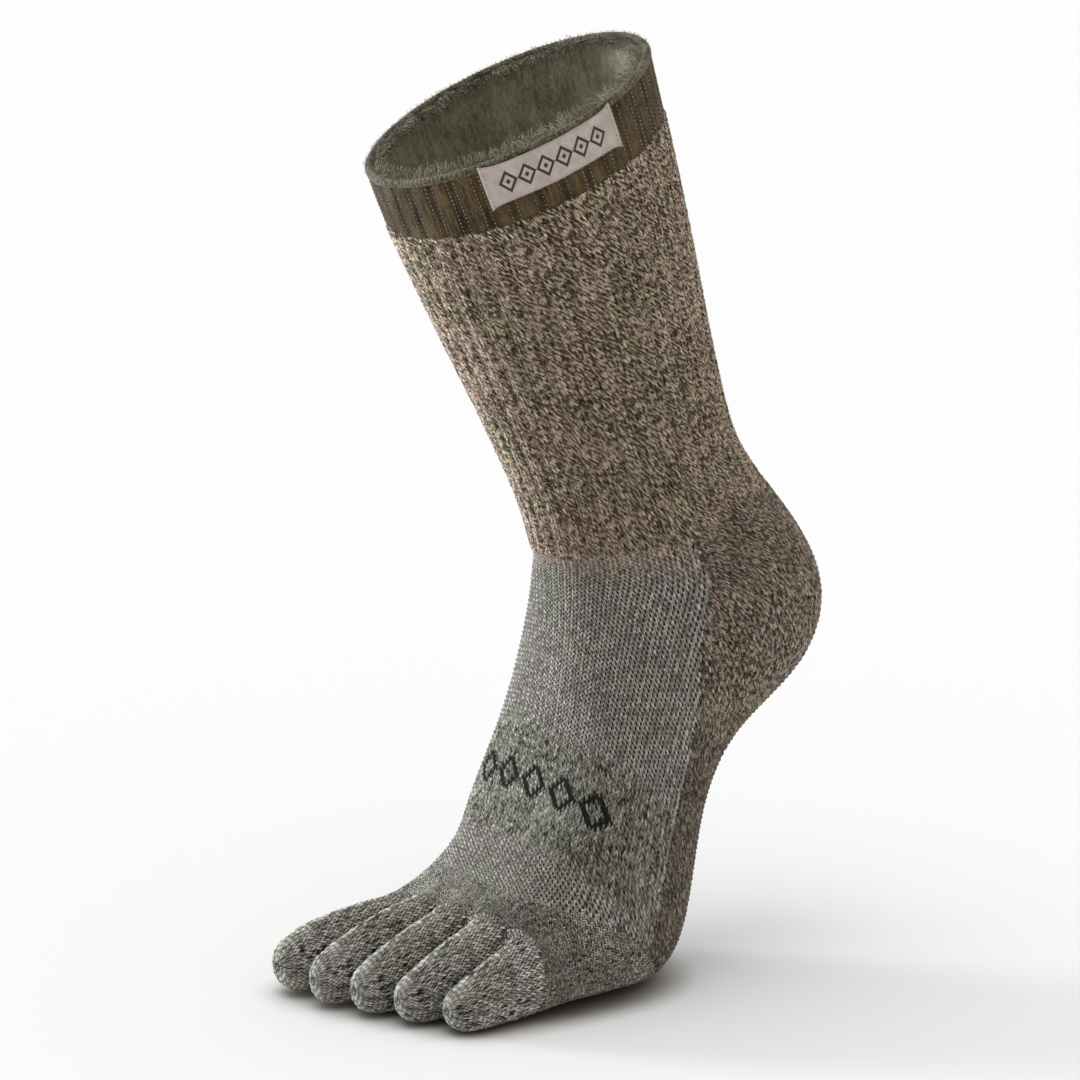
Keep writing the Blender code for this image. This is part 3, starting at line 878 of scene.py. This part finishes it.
sole = knitSheet("sole_knit", footGrid, *backSpan, archRow, ballRow, lambda u, v: ~isUpper(u, v),
                 **leaningStitch)
givePiece(sole, soleLook, "sole_terry", "sole")
forefoot = knitSheet("forefoot_knit", footGrid, 0, around, ballRow, cleftRow,
                     lambda u, v: v > toeStartAt(u) - seam, closed=True)
givePiece(forefoot, ballLook, "toe_knit", "forefoot")
# the lining lies just inside the solids' walls
terryInside = {"across": 2, "along": 1, "relief": 0.3, "sink": 0.1, "offset": -form["wall"] - 0.2}
lining = knitSheet("lining_knit", footGrid, 0, around, rimRow, cleftRow, closed=True, inward=True, ribs=0.15,
                   **terryInside)
givePiece(lining, liningLook, "cuff_rib")
for name, grid in toeGrids.items():
    rows = (grid[0].shape[0] - 1) // grain
    toe = knitSheet(name + "_knit", grid, 0, form["toeColumns"], 0, rows, closed=True, cap=True,
                    **coarseStitch)
    givePiece(toe, toeLook, "toe_knit", name)
    inner = knitSheet(name + "_lining", grid, 0, form["toeColumns"], 0, rows, closed=True, cap=True,
                      inward=True, **terryInside)
    givePiece(inner, liningLook, "sole_terry")

# Rim, its fibres and the dotted stitches of the cuff

rim = {
    "radius": 1.55, "height": 1.7,     # of the rolled edge, across and along the leg
    "outward": 0.15, "sunk": 0.3,      # how far it stands past the knit, and how deep it sits on it
    "bump": 0.16, "uneven": 0.10,      # relief of its stitches
    "twist": 0.8,                      # how far the stitches lean round the roll
    "stitchRise": 0.4,                 # courses to a step
    "steps": 12, "columns": 720,
    "overhang": 25.0,                  # degrees that it reaches down past each side
    "swayAt": frontColumn + 3.7,       # cage column beside the label where the pile stands up
    "seed": 5,
}


def buildRim(name, start, end, sway=0.0):
    # the rolled edge, an arc in degrees from the outer side over the top to the lining;
    # sway turns the arc up beside the label and down opposite it
    u = np.linspace(0.0, around, rim["columns"] + 1)
    outer, normal = sampleGrid(footGrid, u, np.zeros_like(u), True)
    justBelow = np.full_like(u, 0.12)
    upward = outer - sampleGrid(footGrid, u, justBelow, True)[0]
    upward /= np.linalg.norm(upward, axis=1, keepdims=True)
    random = np.random.default_rng(rim["seed"])
    turns = np.radians(np.linspace(start, end, rim["steps"] + 1))
    rings = []
    for turn in turns[::-1]:
        turn = turn - math.radians(sway) * np.cos((u - rim["swayAt"]) * 2.0 * math.pi / around)
        wale = np.sin(u * ribbedWales * 2.0 * np.pi + turn * rim["twist"])
        bump = rim["bump"] * wale + random.uniform(-rim["uneven"], rim["uneven"], len(u))
        bump[-1] = bump[0]
        across = ((rim["radius"] + bump) * np.cos(turn))[:, None]
        rise = ((rim["height"] + bump) * np.sin(turn))[:, None]
        past = across - rim["radius"] + rim["outward"]
        rings.append(outer + normal * past + upward * (rise - rim["sunk"]))
    stitch = np.stack(np.meshgrid(u * ribbedWales, np.arange(len(rings)) * rim["stitchRise"]), axis=-1)
    return gridObject(name, np.stack(rings), {"stitch": stitch}, True)


class Growth(Tree):
    # a Geometry Nodes tree with named inputs
    def __init__(self, name, inputs):
        self.tree = bpy.data.node_groups.new(name, "GeometryNodeTree")
        self.tree.interface.new_socket("Geometry", in_out="INPUT", socket_type="NodeSocketGeometry")
        self.tree.interface.new_socket("Geometry", in_out="OUTPUT", socket_type="NodeSocketGeometry")
        for title, value in inputs.items():
            kind = "NodeSocketInt" if isinstance(value, int) else "NodeSocketFloat"
            self.tree.interface.new_socket(title, in_out="INPUT", socket_type=kind).default_value = value
        self.inputs = inputs
        self.start = self.tree.nodes.new("NodeGroupInput")

    def given(self, title):
        return self.start.outputs[title]

    def finish(self, instances, material):
        solid = self.make("GeometryNodeRealizeInstances", None, Geometry=instances)
        named = self.make("GeometryNodeSetMaterial", None, Geometry=solid.outputs[0], Material=material)
        self.feed(self.tree.nodes.new("NodeGroupOutput").inputs[0], named.outputs[0])

    def grown(self, name, source):
        # the mesh that the tree grows on the source, which is then removed
        modifier = source.modifiers.new("growth", "NODES")
        modifier.node_group = self.tree
        for item in self.tree.interface.items_tree:
            if item.name in self.inputs:
                modifier[item.identifier] = self.inputs[item.name]
        depsgraph = bpy.context.evaluated_depsgraph_get()
        mesh = bpy.data.meshes.new_from_object(source.evaluated_get(depsgraph))
        bpy.data.objects.remove(source)
        mesh.name = name
        mesh.shade_smooth()
        obj = bpy.data.objects.new(name, mesh)
        bpy.context.scene.collection.objects.link(obj)
        return obj


def fibreGrowth(name, material, inputs):
    # short bent fibres standing on a surface
    g = Growth(name, inputs)
    spots = g.make("GeometryNodeDistributePointsOnFaces", None, Mesh=g.given("Geometry"),
                   Density=g.given("Fibres per square metre"), Seed=g.given("Seed"))
    tip = g.make("ShaderNodeCombineXYZ", None, X=g.given("Bend"), Z=g.given("Length"))
    middle = g.make("ShaderNodeCombineXYZ", None, Z=g.given("Length"))
    half = g.make("ShaderNodeVectorMath", {"operation": "SCALE"}, Vector=middle.outputs[0], Scale=0.6)
    line = g.make("GeometryNodeCurveQuadraticBezier", None, Resolution=3, Middle=half.outputs[0],
                  End=tip.outputs[0], Start=(0.0, 0.0, 0.0))
    ring = g.make("GeometryNodeCurvePrimitiveCircle", None, Resolution=3, Radius=g.given("Radius"))
    blade = g.make("GeometryNodeCurveToMesh", None, Curve=line.outputs[0], Profile_Curve=ring.outputs[0])
    slope, turn = 0.3, 6.28                  # how far a fibre leans and turns, in radians
    shortest, longest = 0.45, 1.15           # shares of the length
    lean = g.make("FunctionNodeRandomValue", {"data_type": "FLOAT_VECTOR"}, Min=(-slope, -slope, 0.0),
                  Max=(slope, slope, turn), Seed=g.given("Seed"))
    turned = g.make("FunctionNodeRotateRotation", {"rotation_space": "LOCAL"},
                    Rotation=spots.outputs["Rotation"], Rotate_By=lean.outputs["Value"])
    size = g.make("FunctionNodeRandomValue", {"data_type": "FLOAT"}, **{"2": shortest, "3": longest})
    placed = g.make("GeometryNodeInstanceOnPoints", None, Points=spots.outputs["Points"],
                    Instance=blade.outputs[0], Rotation=turned.outputs[0], Scale=size.outputs["Value"])
    g.finish(placed.outputs[0], material)
    return g


def stitchGrowth(name, material, inputs):
    # small round stitches along each line of the source
    g = Growth(name, inputs)
    lines = g.make("GeometryNodeMeshToCurve", None, Mesh=g.given("Geometry"))
    even = g.make("GeometryNodeResampleCurve", {"mode": "LENGTH"}, Curve=lines.outputs[0],
                  Length=g.given("Pitch"))
    bead = g.make("GeometryNodeMeshUVSphere", None, Segments=6, Rings=4, Radius=0.5)
    tangent = g.make("GeometryNodeInputTangent")
    along = g.make("FunctionNodeAlignRotationToVector", {"axis": "Z"}, Vector=tangent.outputs[0])
    size = g.make("ShaderNodeCombineXYZ", None, X=g.given("Width"), Y=g.given("Width"), Z=g.given("Length"))
    placed = g.make("GeometryNodeInstanceOnPoints", None, Points=even.outputs[0], Instance=bead.outputs[0],
                    Rotation=along.outputs[0], Scale=size.outputs[0])
    g.finish(placed.outputs[0], material)
    return g


def lineSource(lines):
    # one mesh of open lines, the source of a growth of stitches
    points, edges = [], []
    for line in lines:
        edges += [(len(points) + k, len(points) + k + 1) for k in range(len(line) - 1)]
        points += (np.asarray(line) * mm).tolist()
    mesh = bpy.data.meshes.new("lines")
    mesh.from_pydata(points, edges, [])
    obj = bpy.data.objects.new("lines", mesh)
    bpy.context.scene.collection.objects.link(obj)
    return obj


def surfaceLine(u, v, lift):
    points, normals = sampleGrid(footGrid, np.asarray(u, float), np.asarray(v, float), True)
    return points + normals * lift


rimLook = plainFuzz("rimYarn", (0.135, 0.115, 0.070), (0.036, 0.029, 0.017))
fibreLook = plainFuzz("terryFibre", (0.27, 0.26, 0.18), (0.065, 0.060, 0.036))
rimPiece = buildRim("rim_roll", -rim["overhang"], 180.0 + rim["overhang"])
givePiece(rimPiece, rimLook, "cuff_rib")
rimFuzz = fibreGrowth("rimFuzz", fibreLook, {
    "Fibres per square metre": 1.0e6, "Length": 0.0009, "Bend": 0.0005, "Radius": 0.00006, "Seed": 3})
givePiece(rimFuzz.grown("rim_fibres", buildRim("outerRim", 20.0, 150.0)), fibreLook, "cuff_rib")
terry = fibreGrowth("mouthTerry", fibreLook, {
    "Fibres per square metre": 5.0e6, "Length": 0.0050, "Bend": 0.0016, "Radius": 0.00012, "Seed": 8})
givePiece(terry.grown("mouth_terry", buildRim("innerRim", 150.0, 192.0, 20.0)), fibreLook, "cuff_rib")

dotted = {
    "pitch": 1.5, "width": 0.34, "length": 0.75,   # of the stitches
    "outward": -0.02,                              # how far they stand off the knit
    "wales": (-0.25, 1.25),                        # where two lines run on each rib
    "rows": np.linspace(0.04, 0.97, 12),           # cage rows from the rim to the band's end
}
stitchLook = plainFuzz("stitchThread", (0.40, 0.34, 0.25), (0.14, 0.12, 0.08), 400.0)
ribCount = round(around * ribbedWales / knit["ribWales"])
dottedLines = []
for rib in range(ribCount):
    for wale in dotted["wales"]:
        column = np.full_like(dotted["rows"], (rib * knit["ribWales"] + wale) / ribbedWales)
        dottedLines.append(surfaceLine(column, dotted["rows"], dotted["outward"]))
beads = stitchGrowth("cuffDots", stitchLook, {
    "Pitch": dotted["pitch"] * mm, "Width": dotted["width"] * mm, "Length": dotted["length"] * mm})
givePiece(beads.grown("cuff_stitches", lineSource(dottedLines)), stitchLook, "cuff_rib")
print("cuff: rim, fibres and dotted stitches")

# Label

label = {
    "bearing": 70.7,                   # degrees round the rim from straight ahead
    "length": 52.5, "height": 11.6,    # round the cage and along the leg's axis
    "flat": (54.0, 14.3),              # the tape laid out, its flared ends taken evenly
    "drop": 0.2,                       # upper edge below the rim
    "thick": 0.8, "standOff": 0.55, "bulge": 0.25,
    "hem": 0.35, "hemShare": 0.93, "hemEdge": 0.015,   # step up at the folded ends, where, how soft
    "flare": 1.3, "flarePower": 10,    # how much wider the ends are, and how late that starts
    "ripple": 0.12, "rippleTurns": (9.0, 2.0),         # slight waves along and across the tape
    "rimShare": 0.1,                   # cage row above the rim, as a share of the leg's length
    "columns": 132, "rows": 30,
}


def buildLabel():
    # woven tape bent round the cuff, its ends folded under and flared
    x = np.linspace(-1.0, 1.0, label["columns"] + 1)
    y = np.linspace(0.0, 1.0, label["rows"] + 1)
    x, y = np.meshgrid(x, y)
    halfTurn = math.degrees(label["length"] / form["cuffDepth"])
    u = frontColumn + (label["bearing"] + x * halfTurn) * around / 360.0
    flare = label["flare"] * np.abs(x) ** label["flarePower"]
    depth = label["drop"] + label["height"] * y + flare * (y * 2.0 - 1.0)
    v = depth / (form["legLength"] * (legRows[0][0] - legRows[1][0]))
    points, normals = sampleGrid(footGrid, u, np.maximum(v, 0.0), True)
    upward = points[:1] - points[-1:]
    upward = upward / np.linalg.norm(upward, axis=2, keepdims=True)
    points = points + upward * (np.maximum(-v, 0.0) * form["legLength"] * label["rimShare"])[..., None]
    hem = label["hem"] * np.clip((np.abs(x) - label["hemShare"]) / label["hemEdge"], 0.0, 1.0)
    bulge = label["bulge"] * (1.0 - (2.0 * y - 1.0) ** 2)
    alongTurns, acrossTurns = label["rippleTurns"]
    ripple = label["ripple"] * np.sin(x * alongTurns + y * acrossTurns)
    lift = label["standOff"] + label["thick"] + bulge + hem + ripple
    points = points + normals * lift[..., None]
    tape = np.stack([x * label["length"] * 0.5, (y - 0.5) * label["height"]], axis=-1)
    sheet = gridObject("label_tape", points, {"stitch": tape}, False)
    wall = sheet.modifiers.new("wall", "SOLIDIFY")
    wall.thickness, wall.offset = label["thick"] * mm, -1.0
    mesh = bpy.data.meshes.new_from_object(sheet.evaluated_get(bpy.context.evaluated_depsgraph_get()))
    sheet.modifiers.clear()
    sheet.data = mesh
    return sheet, points, normals


tapeWeave = {
    "pitch": 0.42,                     # of the weave
    "yarn": ((0.46, 0.385, 0.345), (0.58, 0.50, 0.455)), "figureYarn": (0.020, 0.014, 0.012),
    "figure": 7.0, "count": 6,         # from one diamond to the next, and how many
    "reach": 2.9, "stroke": 0.62,      # half the diamond's height and half its line's
    "centre": 0.9, "edge": 0.1,        # half the small diamond in its middle, softness of the lines
    "border": 0.6, "borderShade": 0.25,
}


def tapeFinish():
    # beige woven tape with a row of small plain diamonds
    f = Finish("labelTape", 0.85, 0.2)
    x, y = f.map("stitch")
    place = f.place()
    turn = 2 * math.pi / tapeWeave["pitch"]
    weave = (x * turn).wave() * (y * turn).wave()
    mottle = f.noise(place, 260.0, 3.0)
    fibre = f.noise(place, 2600.0, 1.0)
    colour = f.mix(((mottle - 0.5) * 3 + 0.5).clamped(), *tapeWeave["yarn"])
    soft = tapeWeave["edge"]
    dx = ((x / tapeWeave["figure"]).part() - 0.5).size() * tapeWeave["figure"]
    reach = dx + y.size()
    line = 1 - ((reach - tapeWeave["reach"]).size() - tapeWeave["stroke"]).between(-0.8 * soft, 0.8 * soft)
    centre = 1 - reach.between(tapeWeave["centre"] - soft, tapeWeave["centre"] + soft)
    figure = line.most(centre) * (x.size() < tapeWeave["figure"] * tapeWeave["count"] / 2)
    colour = f.mix(figure * (0.93 + weave * 0.06), colour, tapeWeave["figureYarn"])
    halfHeight = label["height"] / 2
    edge = y.size().between(halfHeight - tapeWeave["border"], halfHeight) * tapeWeave["borderShade"]
    shade = (0.88 + weave * 0.08) * varied(fibre, 0.4) * (1 - edge)
    return f.finish(f.shaded(colour, shade), weave * 0.5 + fibre * 0.3 + figure * 0.3, 0.12 * mm)


tape, tapePoints, tapeNormals = buildLabel()
givePiece(tape, tapeFinish(), "label_woven", "label")
# sewing thread near each end, from the tape's second row to the last but one
threadAt = {"shares": (0.02, 0.98), "proud": 0.05, "pitch": 1.6, "width": 0.32, "length": 1.2}
threadLines = [(tapePoints + tapeNormals * threadAt["proud"])[2:-2, round(label["columns"] * share)]
               for share in threadAt["shares"]]
thread = stitchGrowth("labelThread", stitchLook, {
    "Pitch": threadAt["pitch"] * mm, "Width": threadAt["width"] * mm, "Length": threadAt["length"] * mm})
givePiece(thread.grown("label_stitches", lineSource(threadLines)), stitchLook, "label_woven")
print("label: tape and stitches")

# Floor, light and camera

stage = {
    "floorSize": 14.0, "floorTint": (0.821, 0.8205, 0.833), "sky": (0.86, 0.853, 0.830),
    "contact": 18.0, "contactTint": (0.16, 0.135, 0.10),   # reach and tint of the shade under the sock
    "openness": (0.10, 0.85),                              # where that shade is full and where it ends
}
# azimuth and height of each light, its strength, the angle that softens its shadow, its colour
suns = {
    "key": (0.0, 74.0, 0.75, 40.0, (1.0, 0.99, 0.97)),
    "edge": (-52.0, 5.0, 4.3, 16.0, (0.92, 1.0, 1.08)),
}
view = {"azimuth": 145.0, "elevation": 13.0, "distance": 1700.0, "scale": 2.68,
        "target": (0.0, -15.0, 162.8), "frame": 1080.0}


def buildStage():
    floorGap = 0.05
    bpy.ops.mesh.primitive_plane_add(size=stage["floorSize"],
                                     location=(0.0, 0.0, (-form["wall"] - floorGap) * mm))
    floor = bpy.context.object
    floor.name = "floor"
    f = Finish("paleFloor", 0.8, 0.0)
    # painted contact shadow: the floor's colour darkens to the contact tint where the sock is near
    nearness = f.make("ShaderNodeAmbientOcclusion", {"samples": 8}, Distance=stage["contact"] * mm)
    openness = f.number(nearness, 1).between(*stage["openness"])
    tone = f.mix(openness, stage["contactTint"], stage["floorTint"])
    f.feed(f.shader.inputs["Base Color"], tone)
    floor.data.materials.append(f.material)
    world = bpy.data.worlds.new("studio")
    world.use_nodes = True
    world.node_tree.nodes["Background"].inputs["Color"].default_value = (*stage["sky"], 1.0)
    bpy.context.scene.world = world
    for name, (azimuth, height, strength, angle, colour) in suns.items():
        sun = bpy.data.lights.new(name, "SUN")
        sun.energy, sun.angle, sun.color = strength, math.radians(angle), colour
        lamp = bpy.data.objects.new(name, sun)
        a, e = math.radians(azimuth), math.radians(height)
        towards = Vector((math.cos(a) * math.cos(e), math.sin(a) * math.cos(e), math.sin(e)))
        lamp.rotation_euler = towards.to_track_quat("Z", "Y").to_euler()
        bpy.context.scene.collection.objects.link(lamp)


def buildCamera():
    a, e = math.radians(view["azimuth"]), math.radians(view["elevation"])
    back = Vector((math.sin(a) * math.cos(e), -math.cos(a) * math.cos(e), math.sin(e)))
    lens = bpy.data.cameras.new("camera")
    lens.sensor_fit = "HORIZONTAL"
    lens.lens = lens.sensor_width * view["scale"] * view["distance"] / view["frame"]
    lens.clip_end = 100.0
    camera = bpy.data.objects.new("camera", lens)
    camera.location = (Vector(view["target"]) + back * view["distance"]) * mm
    camera.rotation_euler = back.to_track_quat("Z", "Y").to_euler()
    bpy.context.scene.collection.objects.link(camera)
    bpy.context.scene.camera = camera


buildStage()
buildCamera()
bpy.context.scene.view_settings.view_transform = "Standard"
print("stage: floor, light and camera")
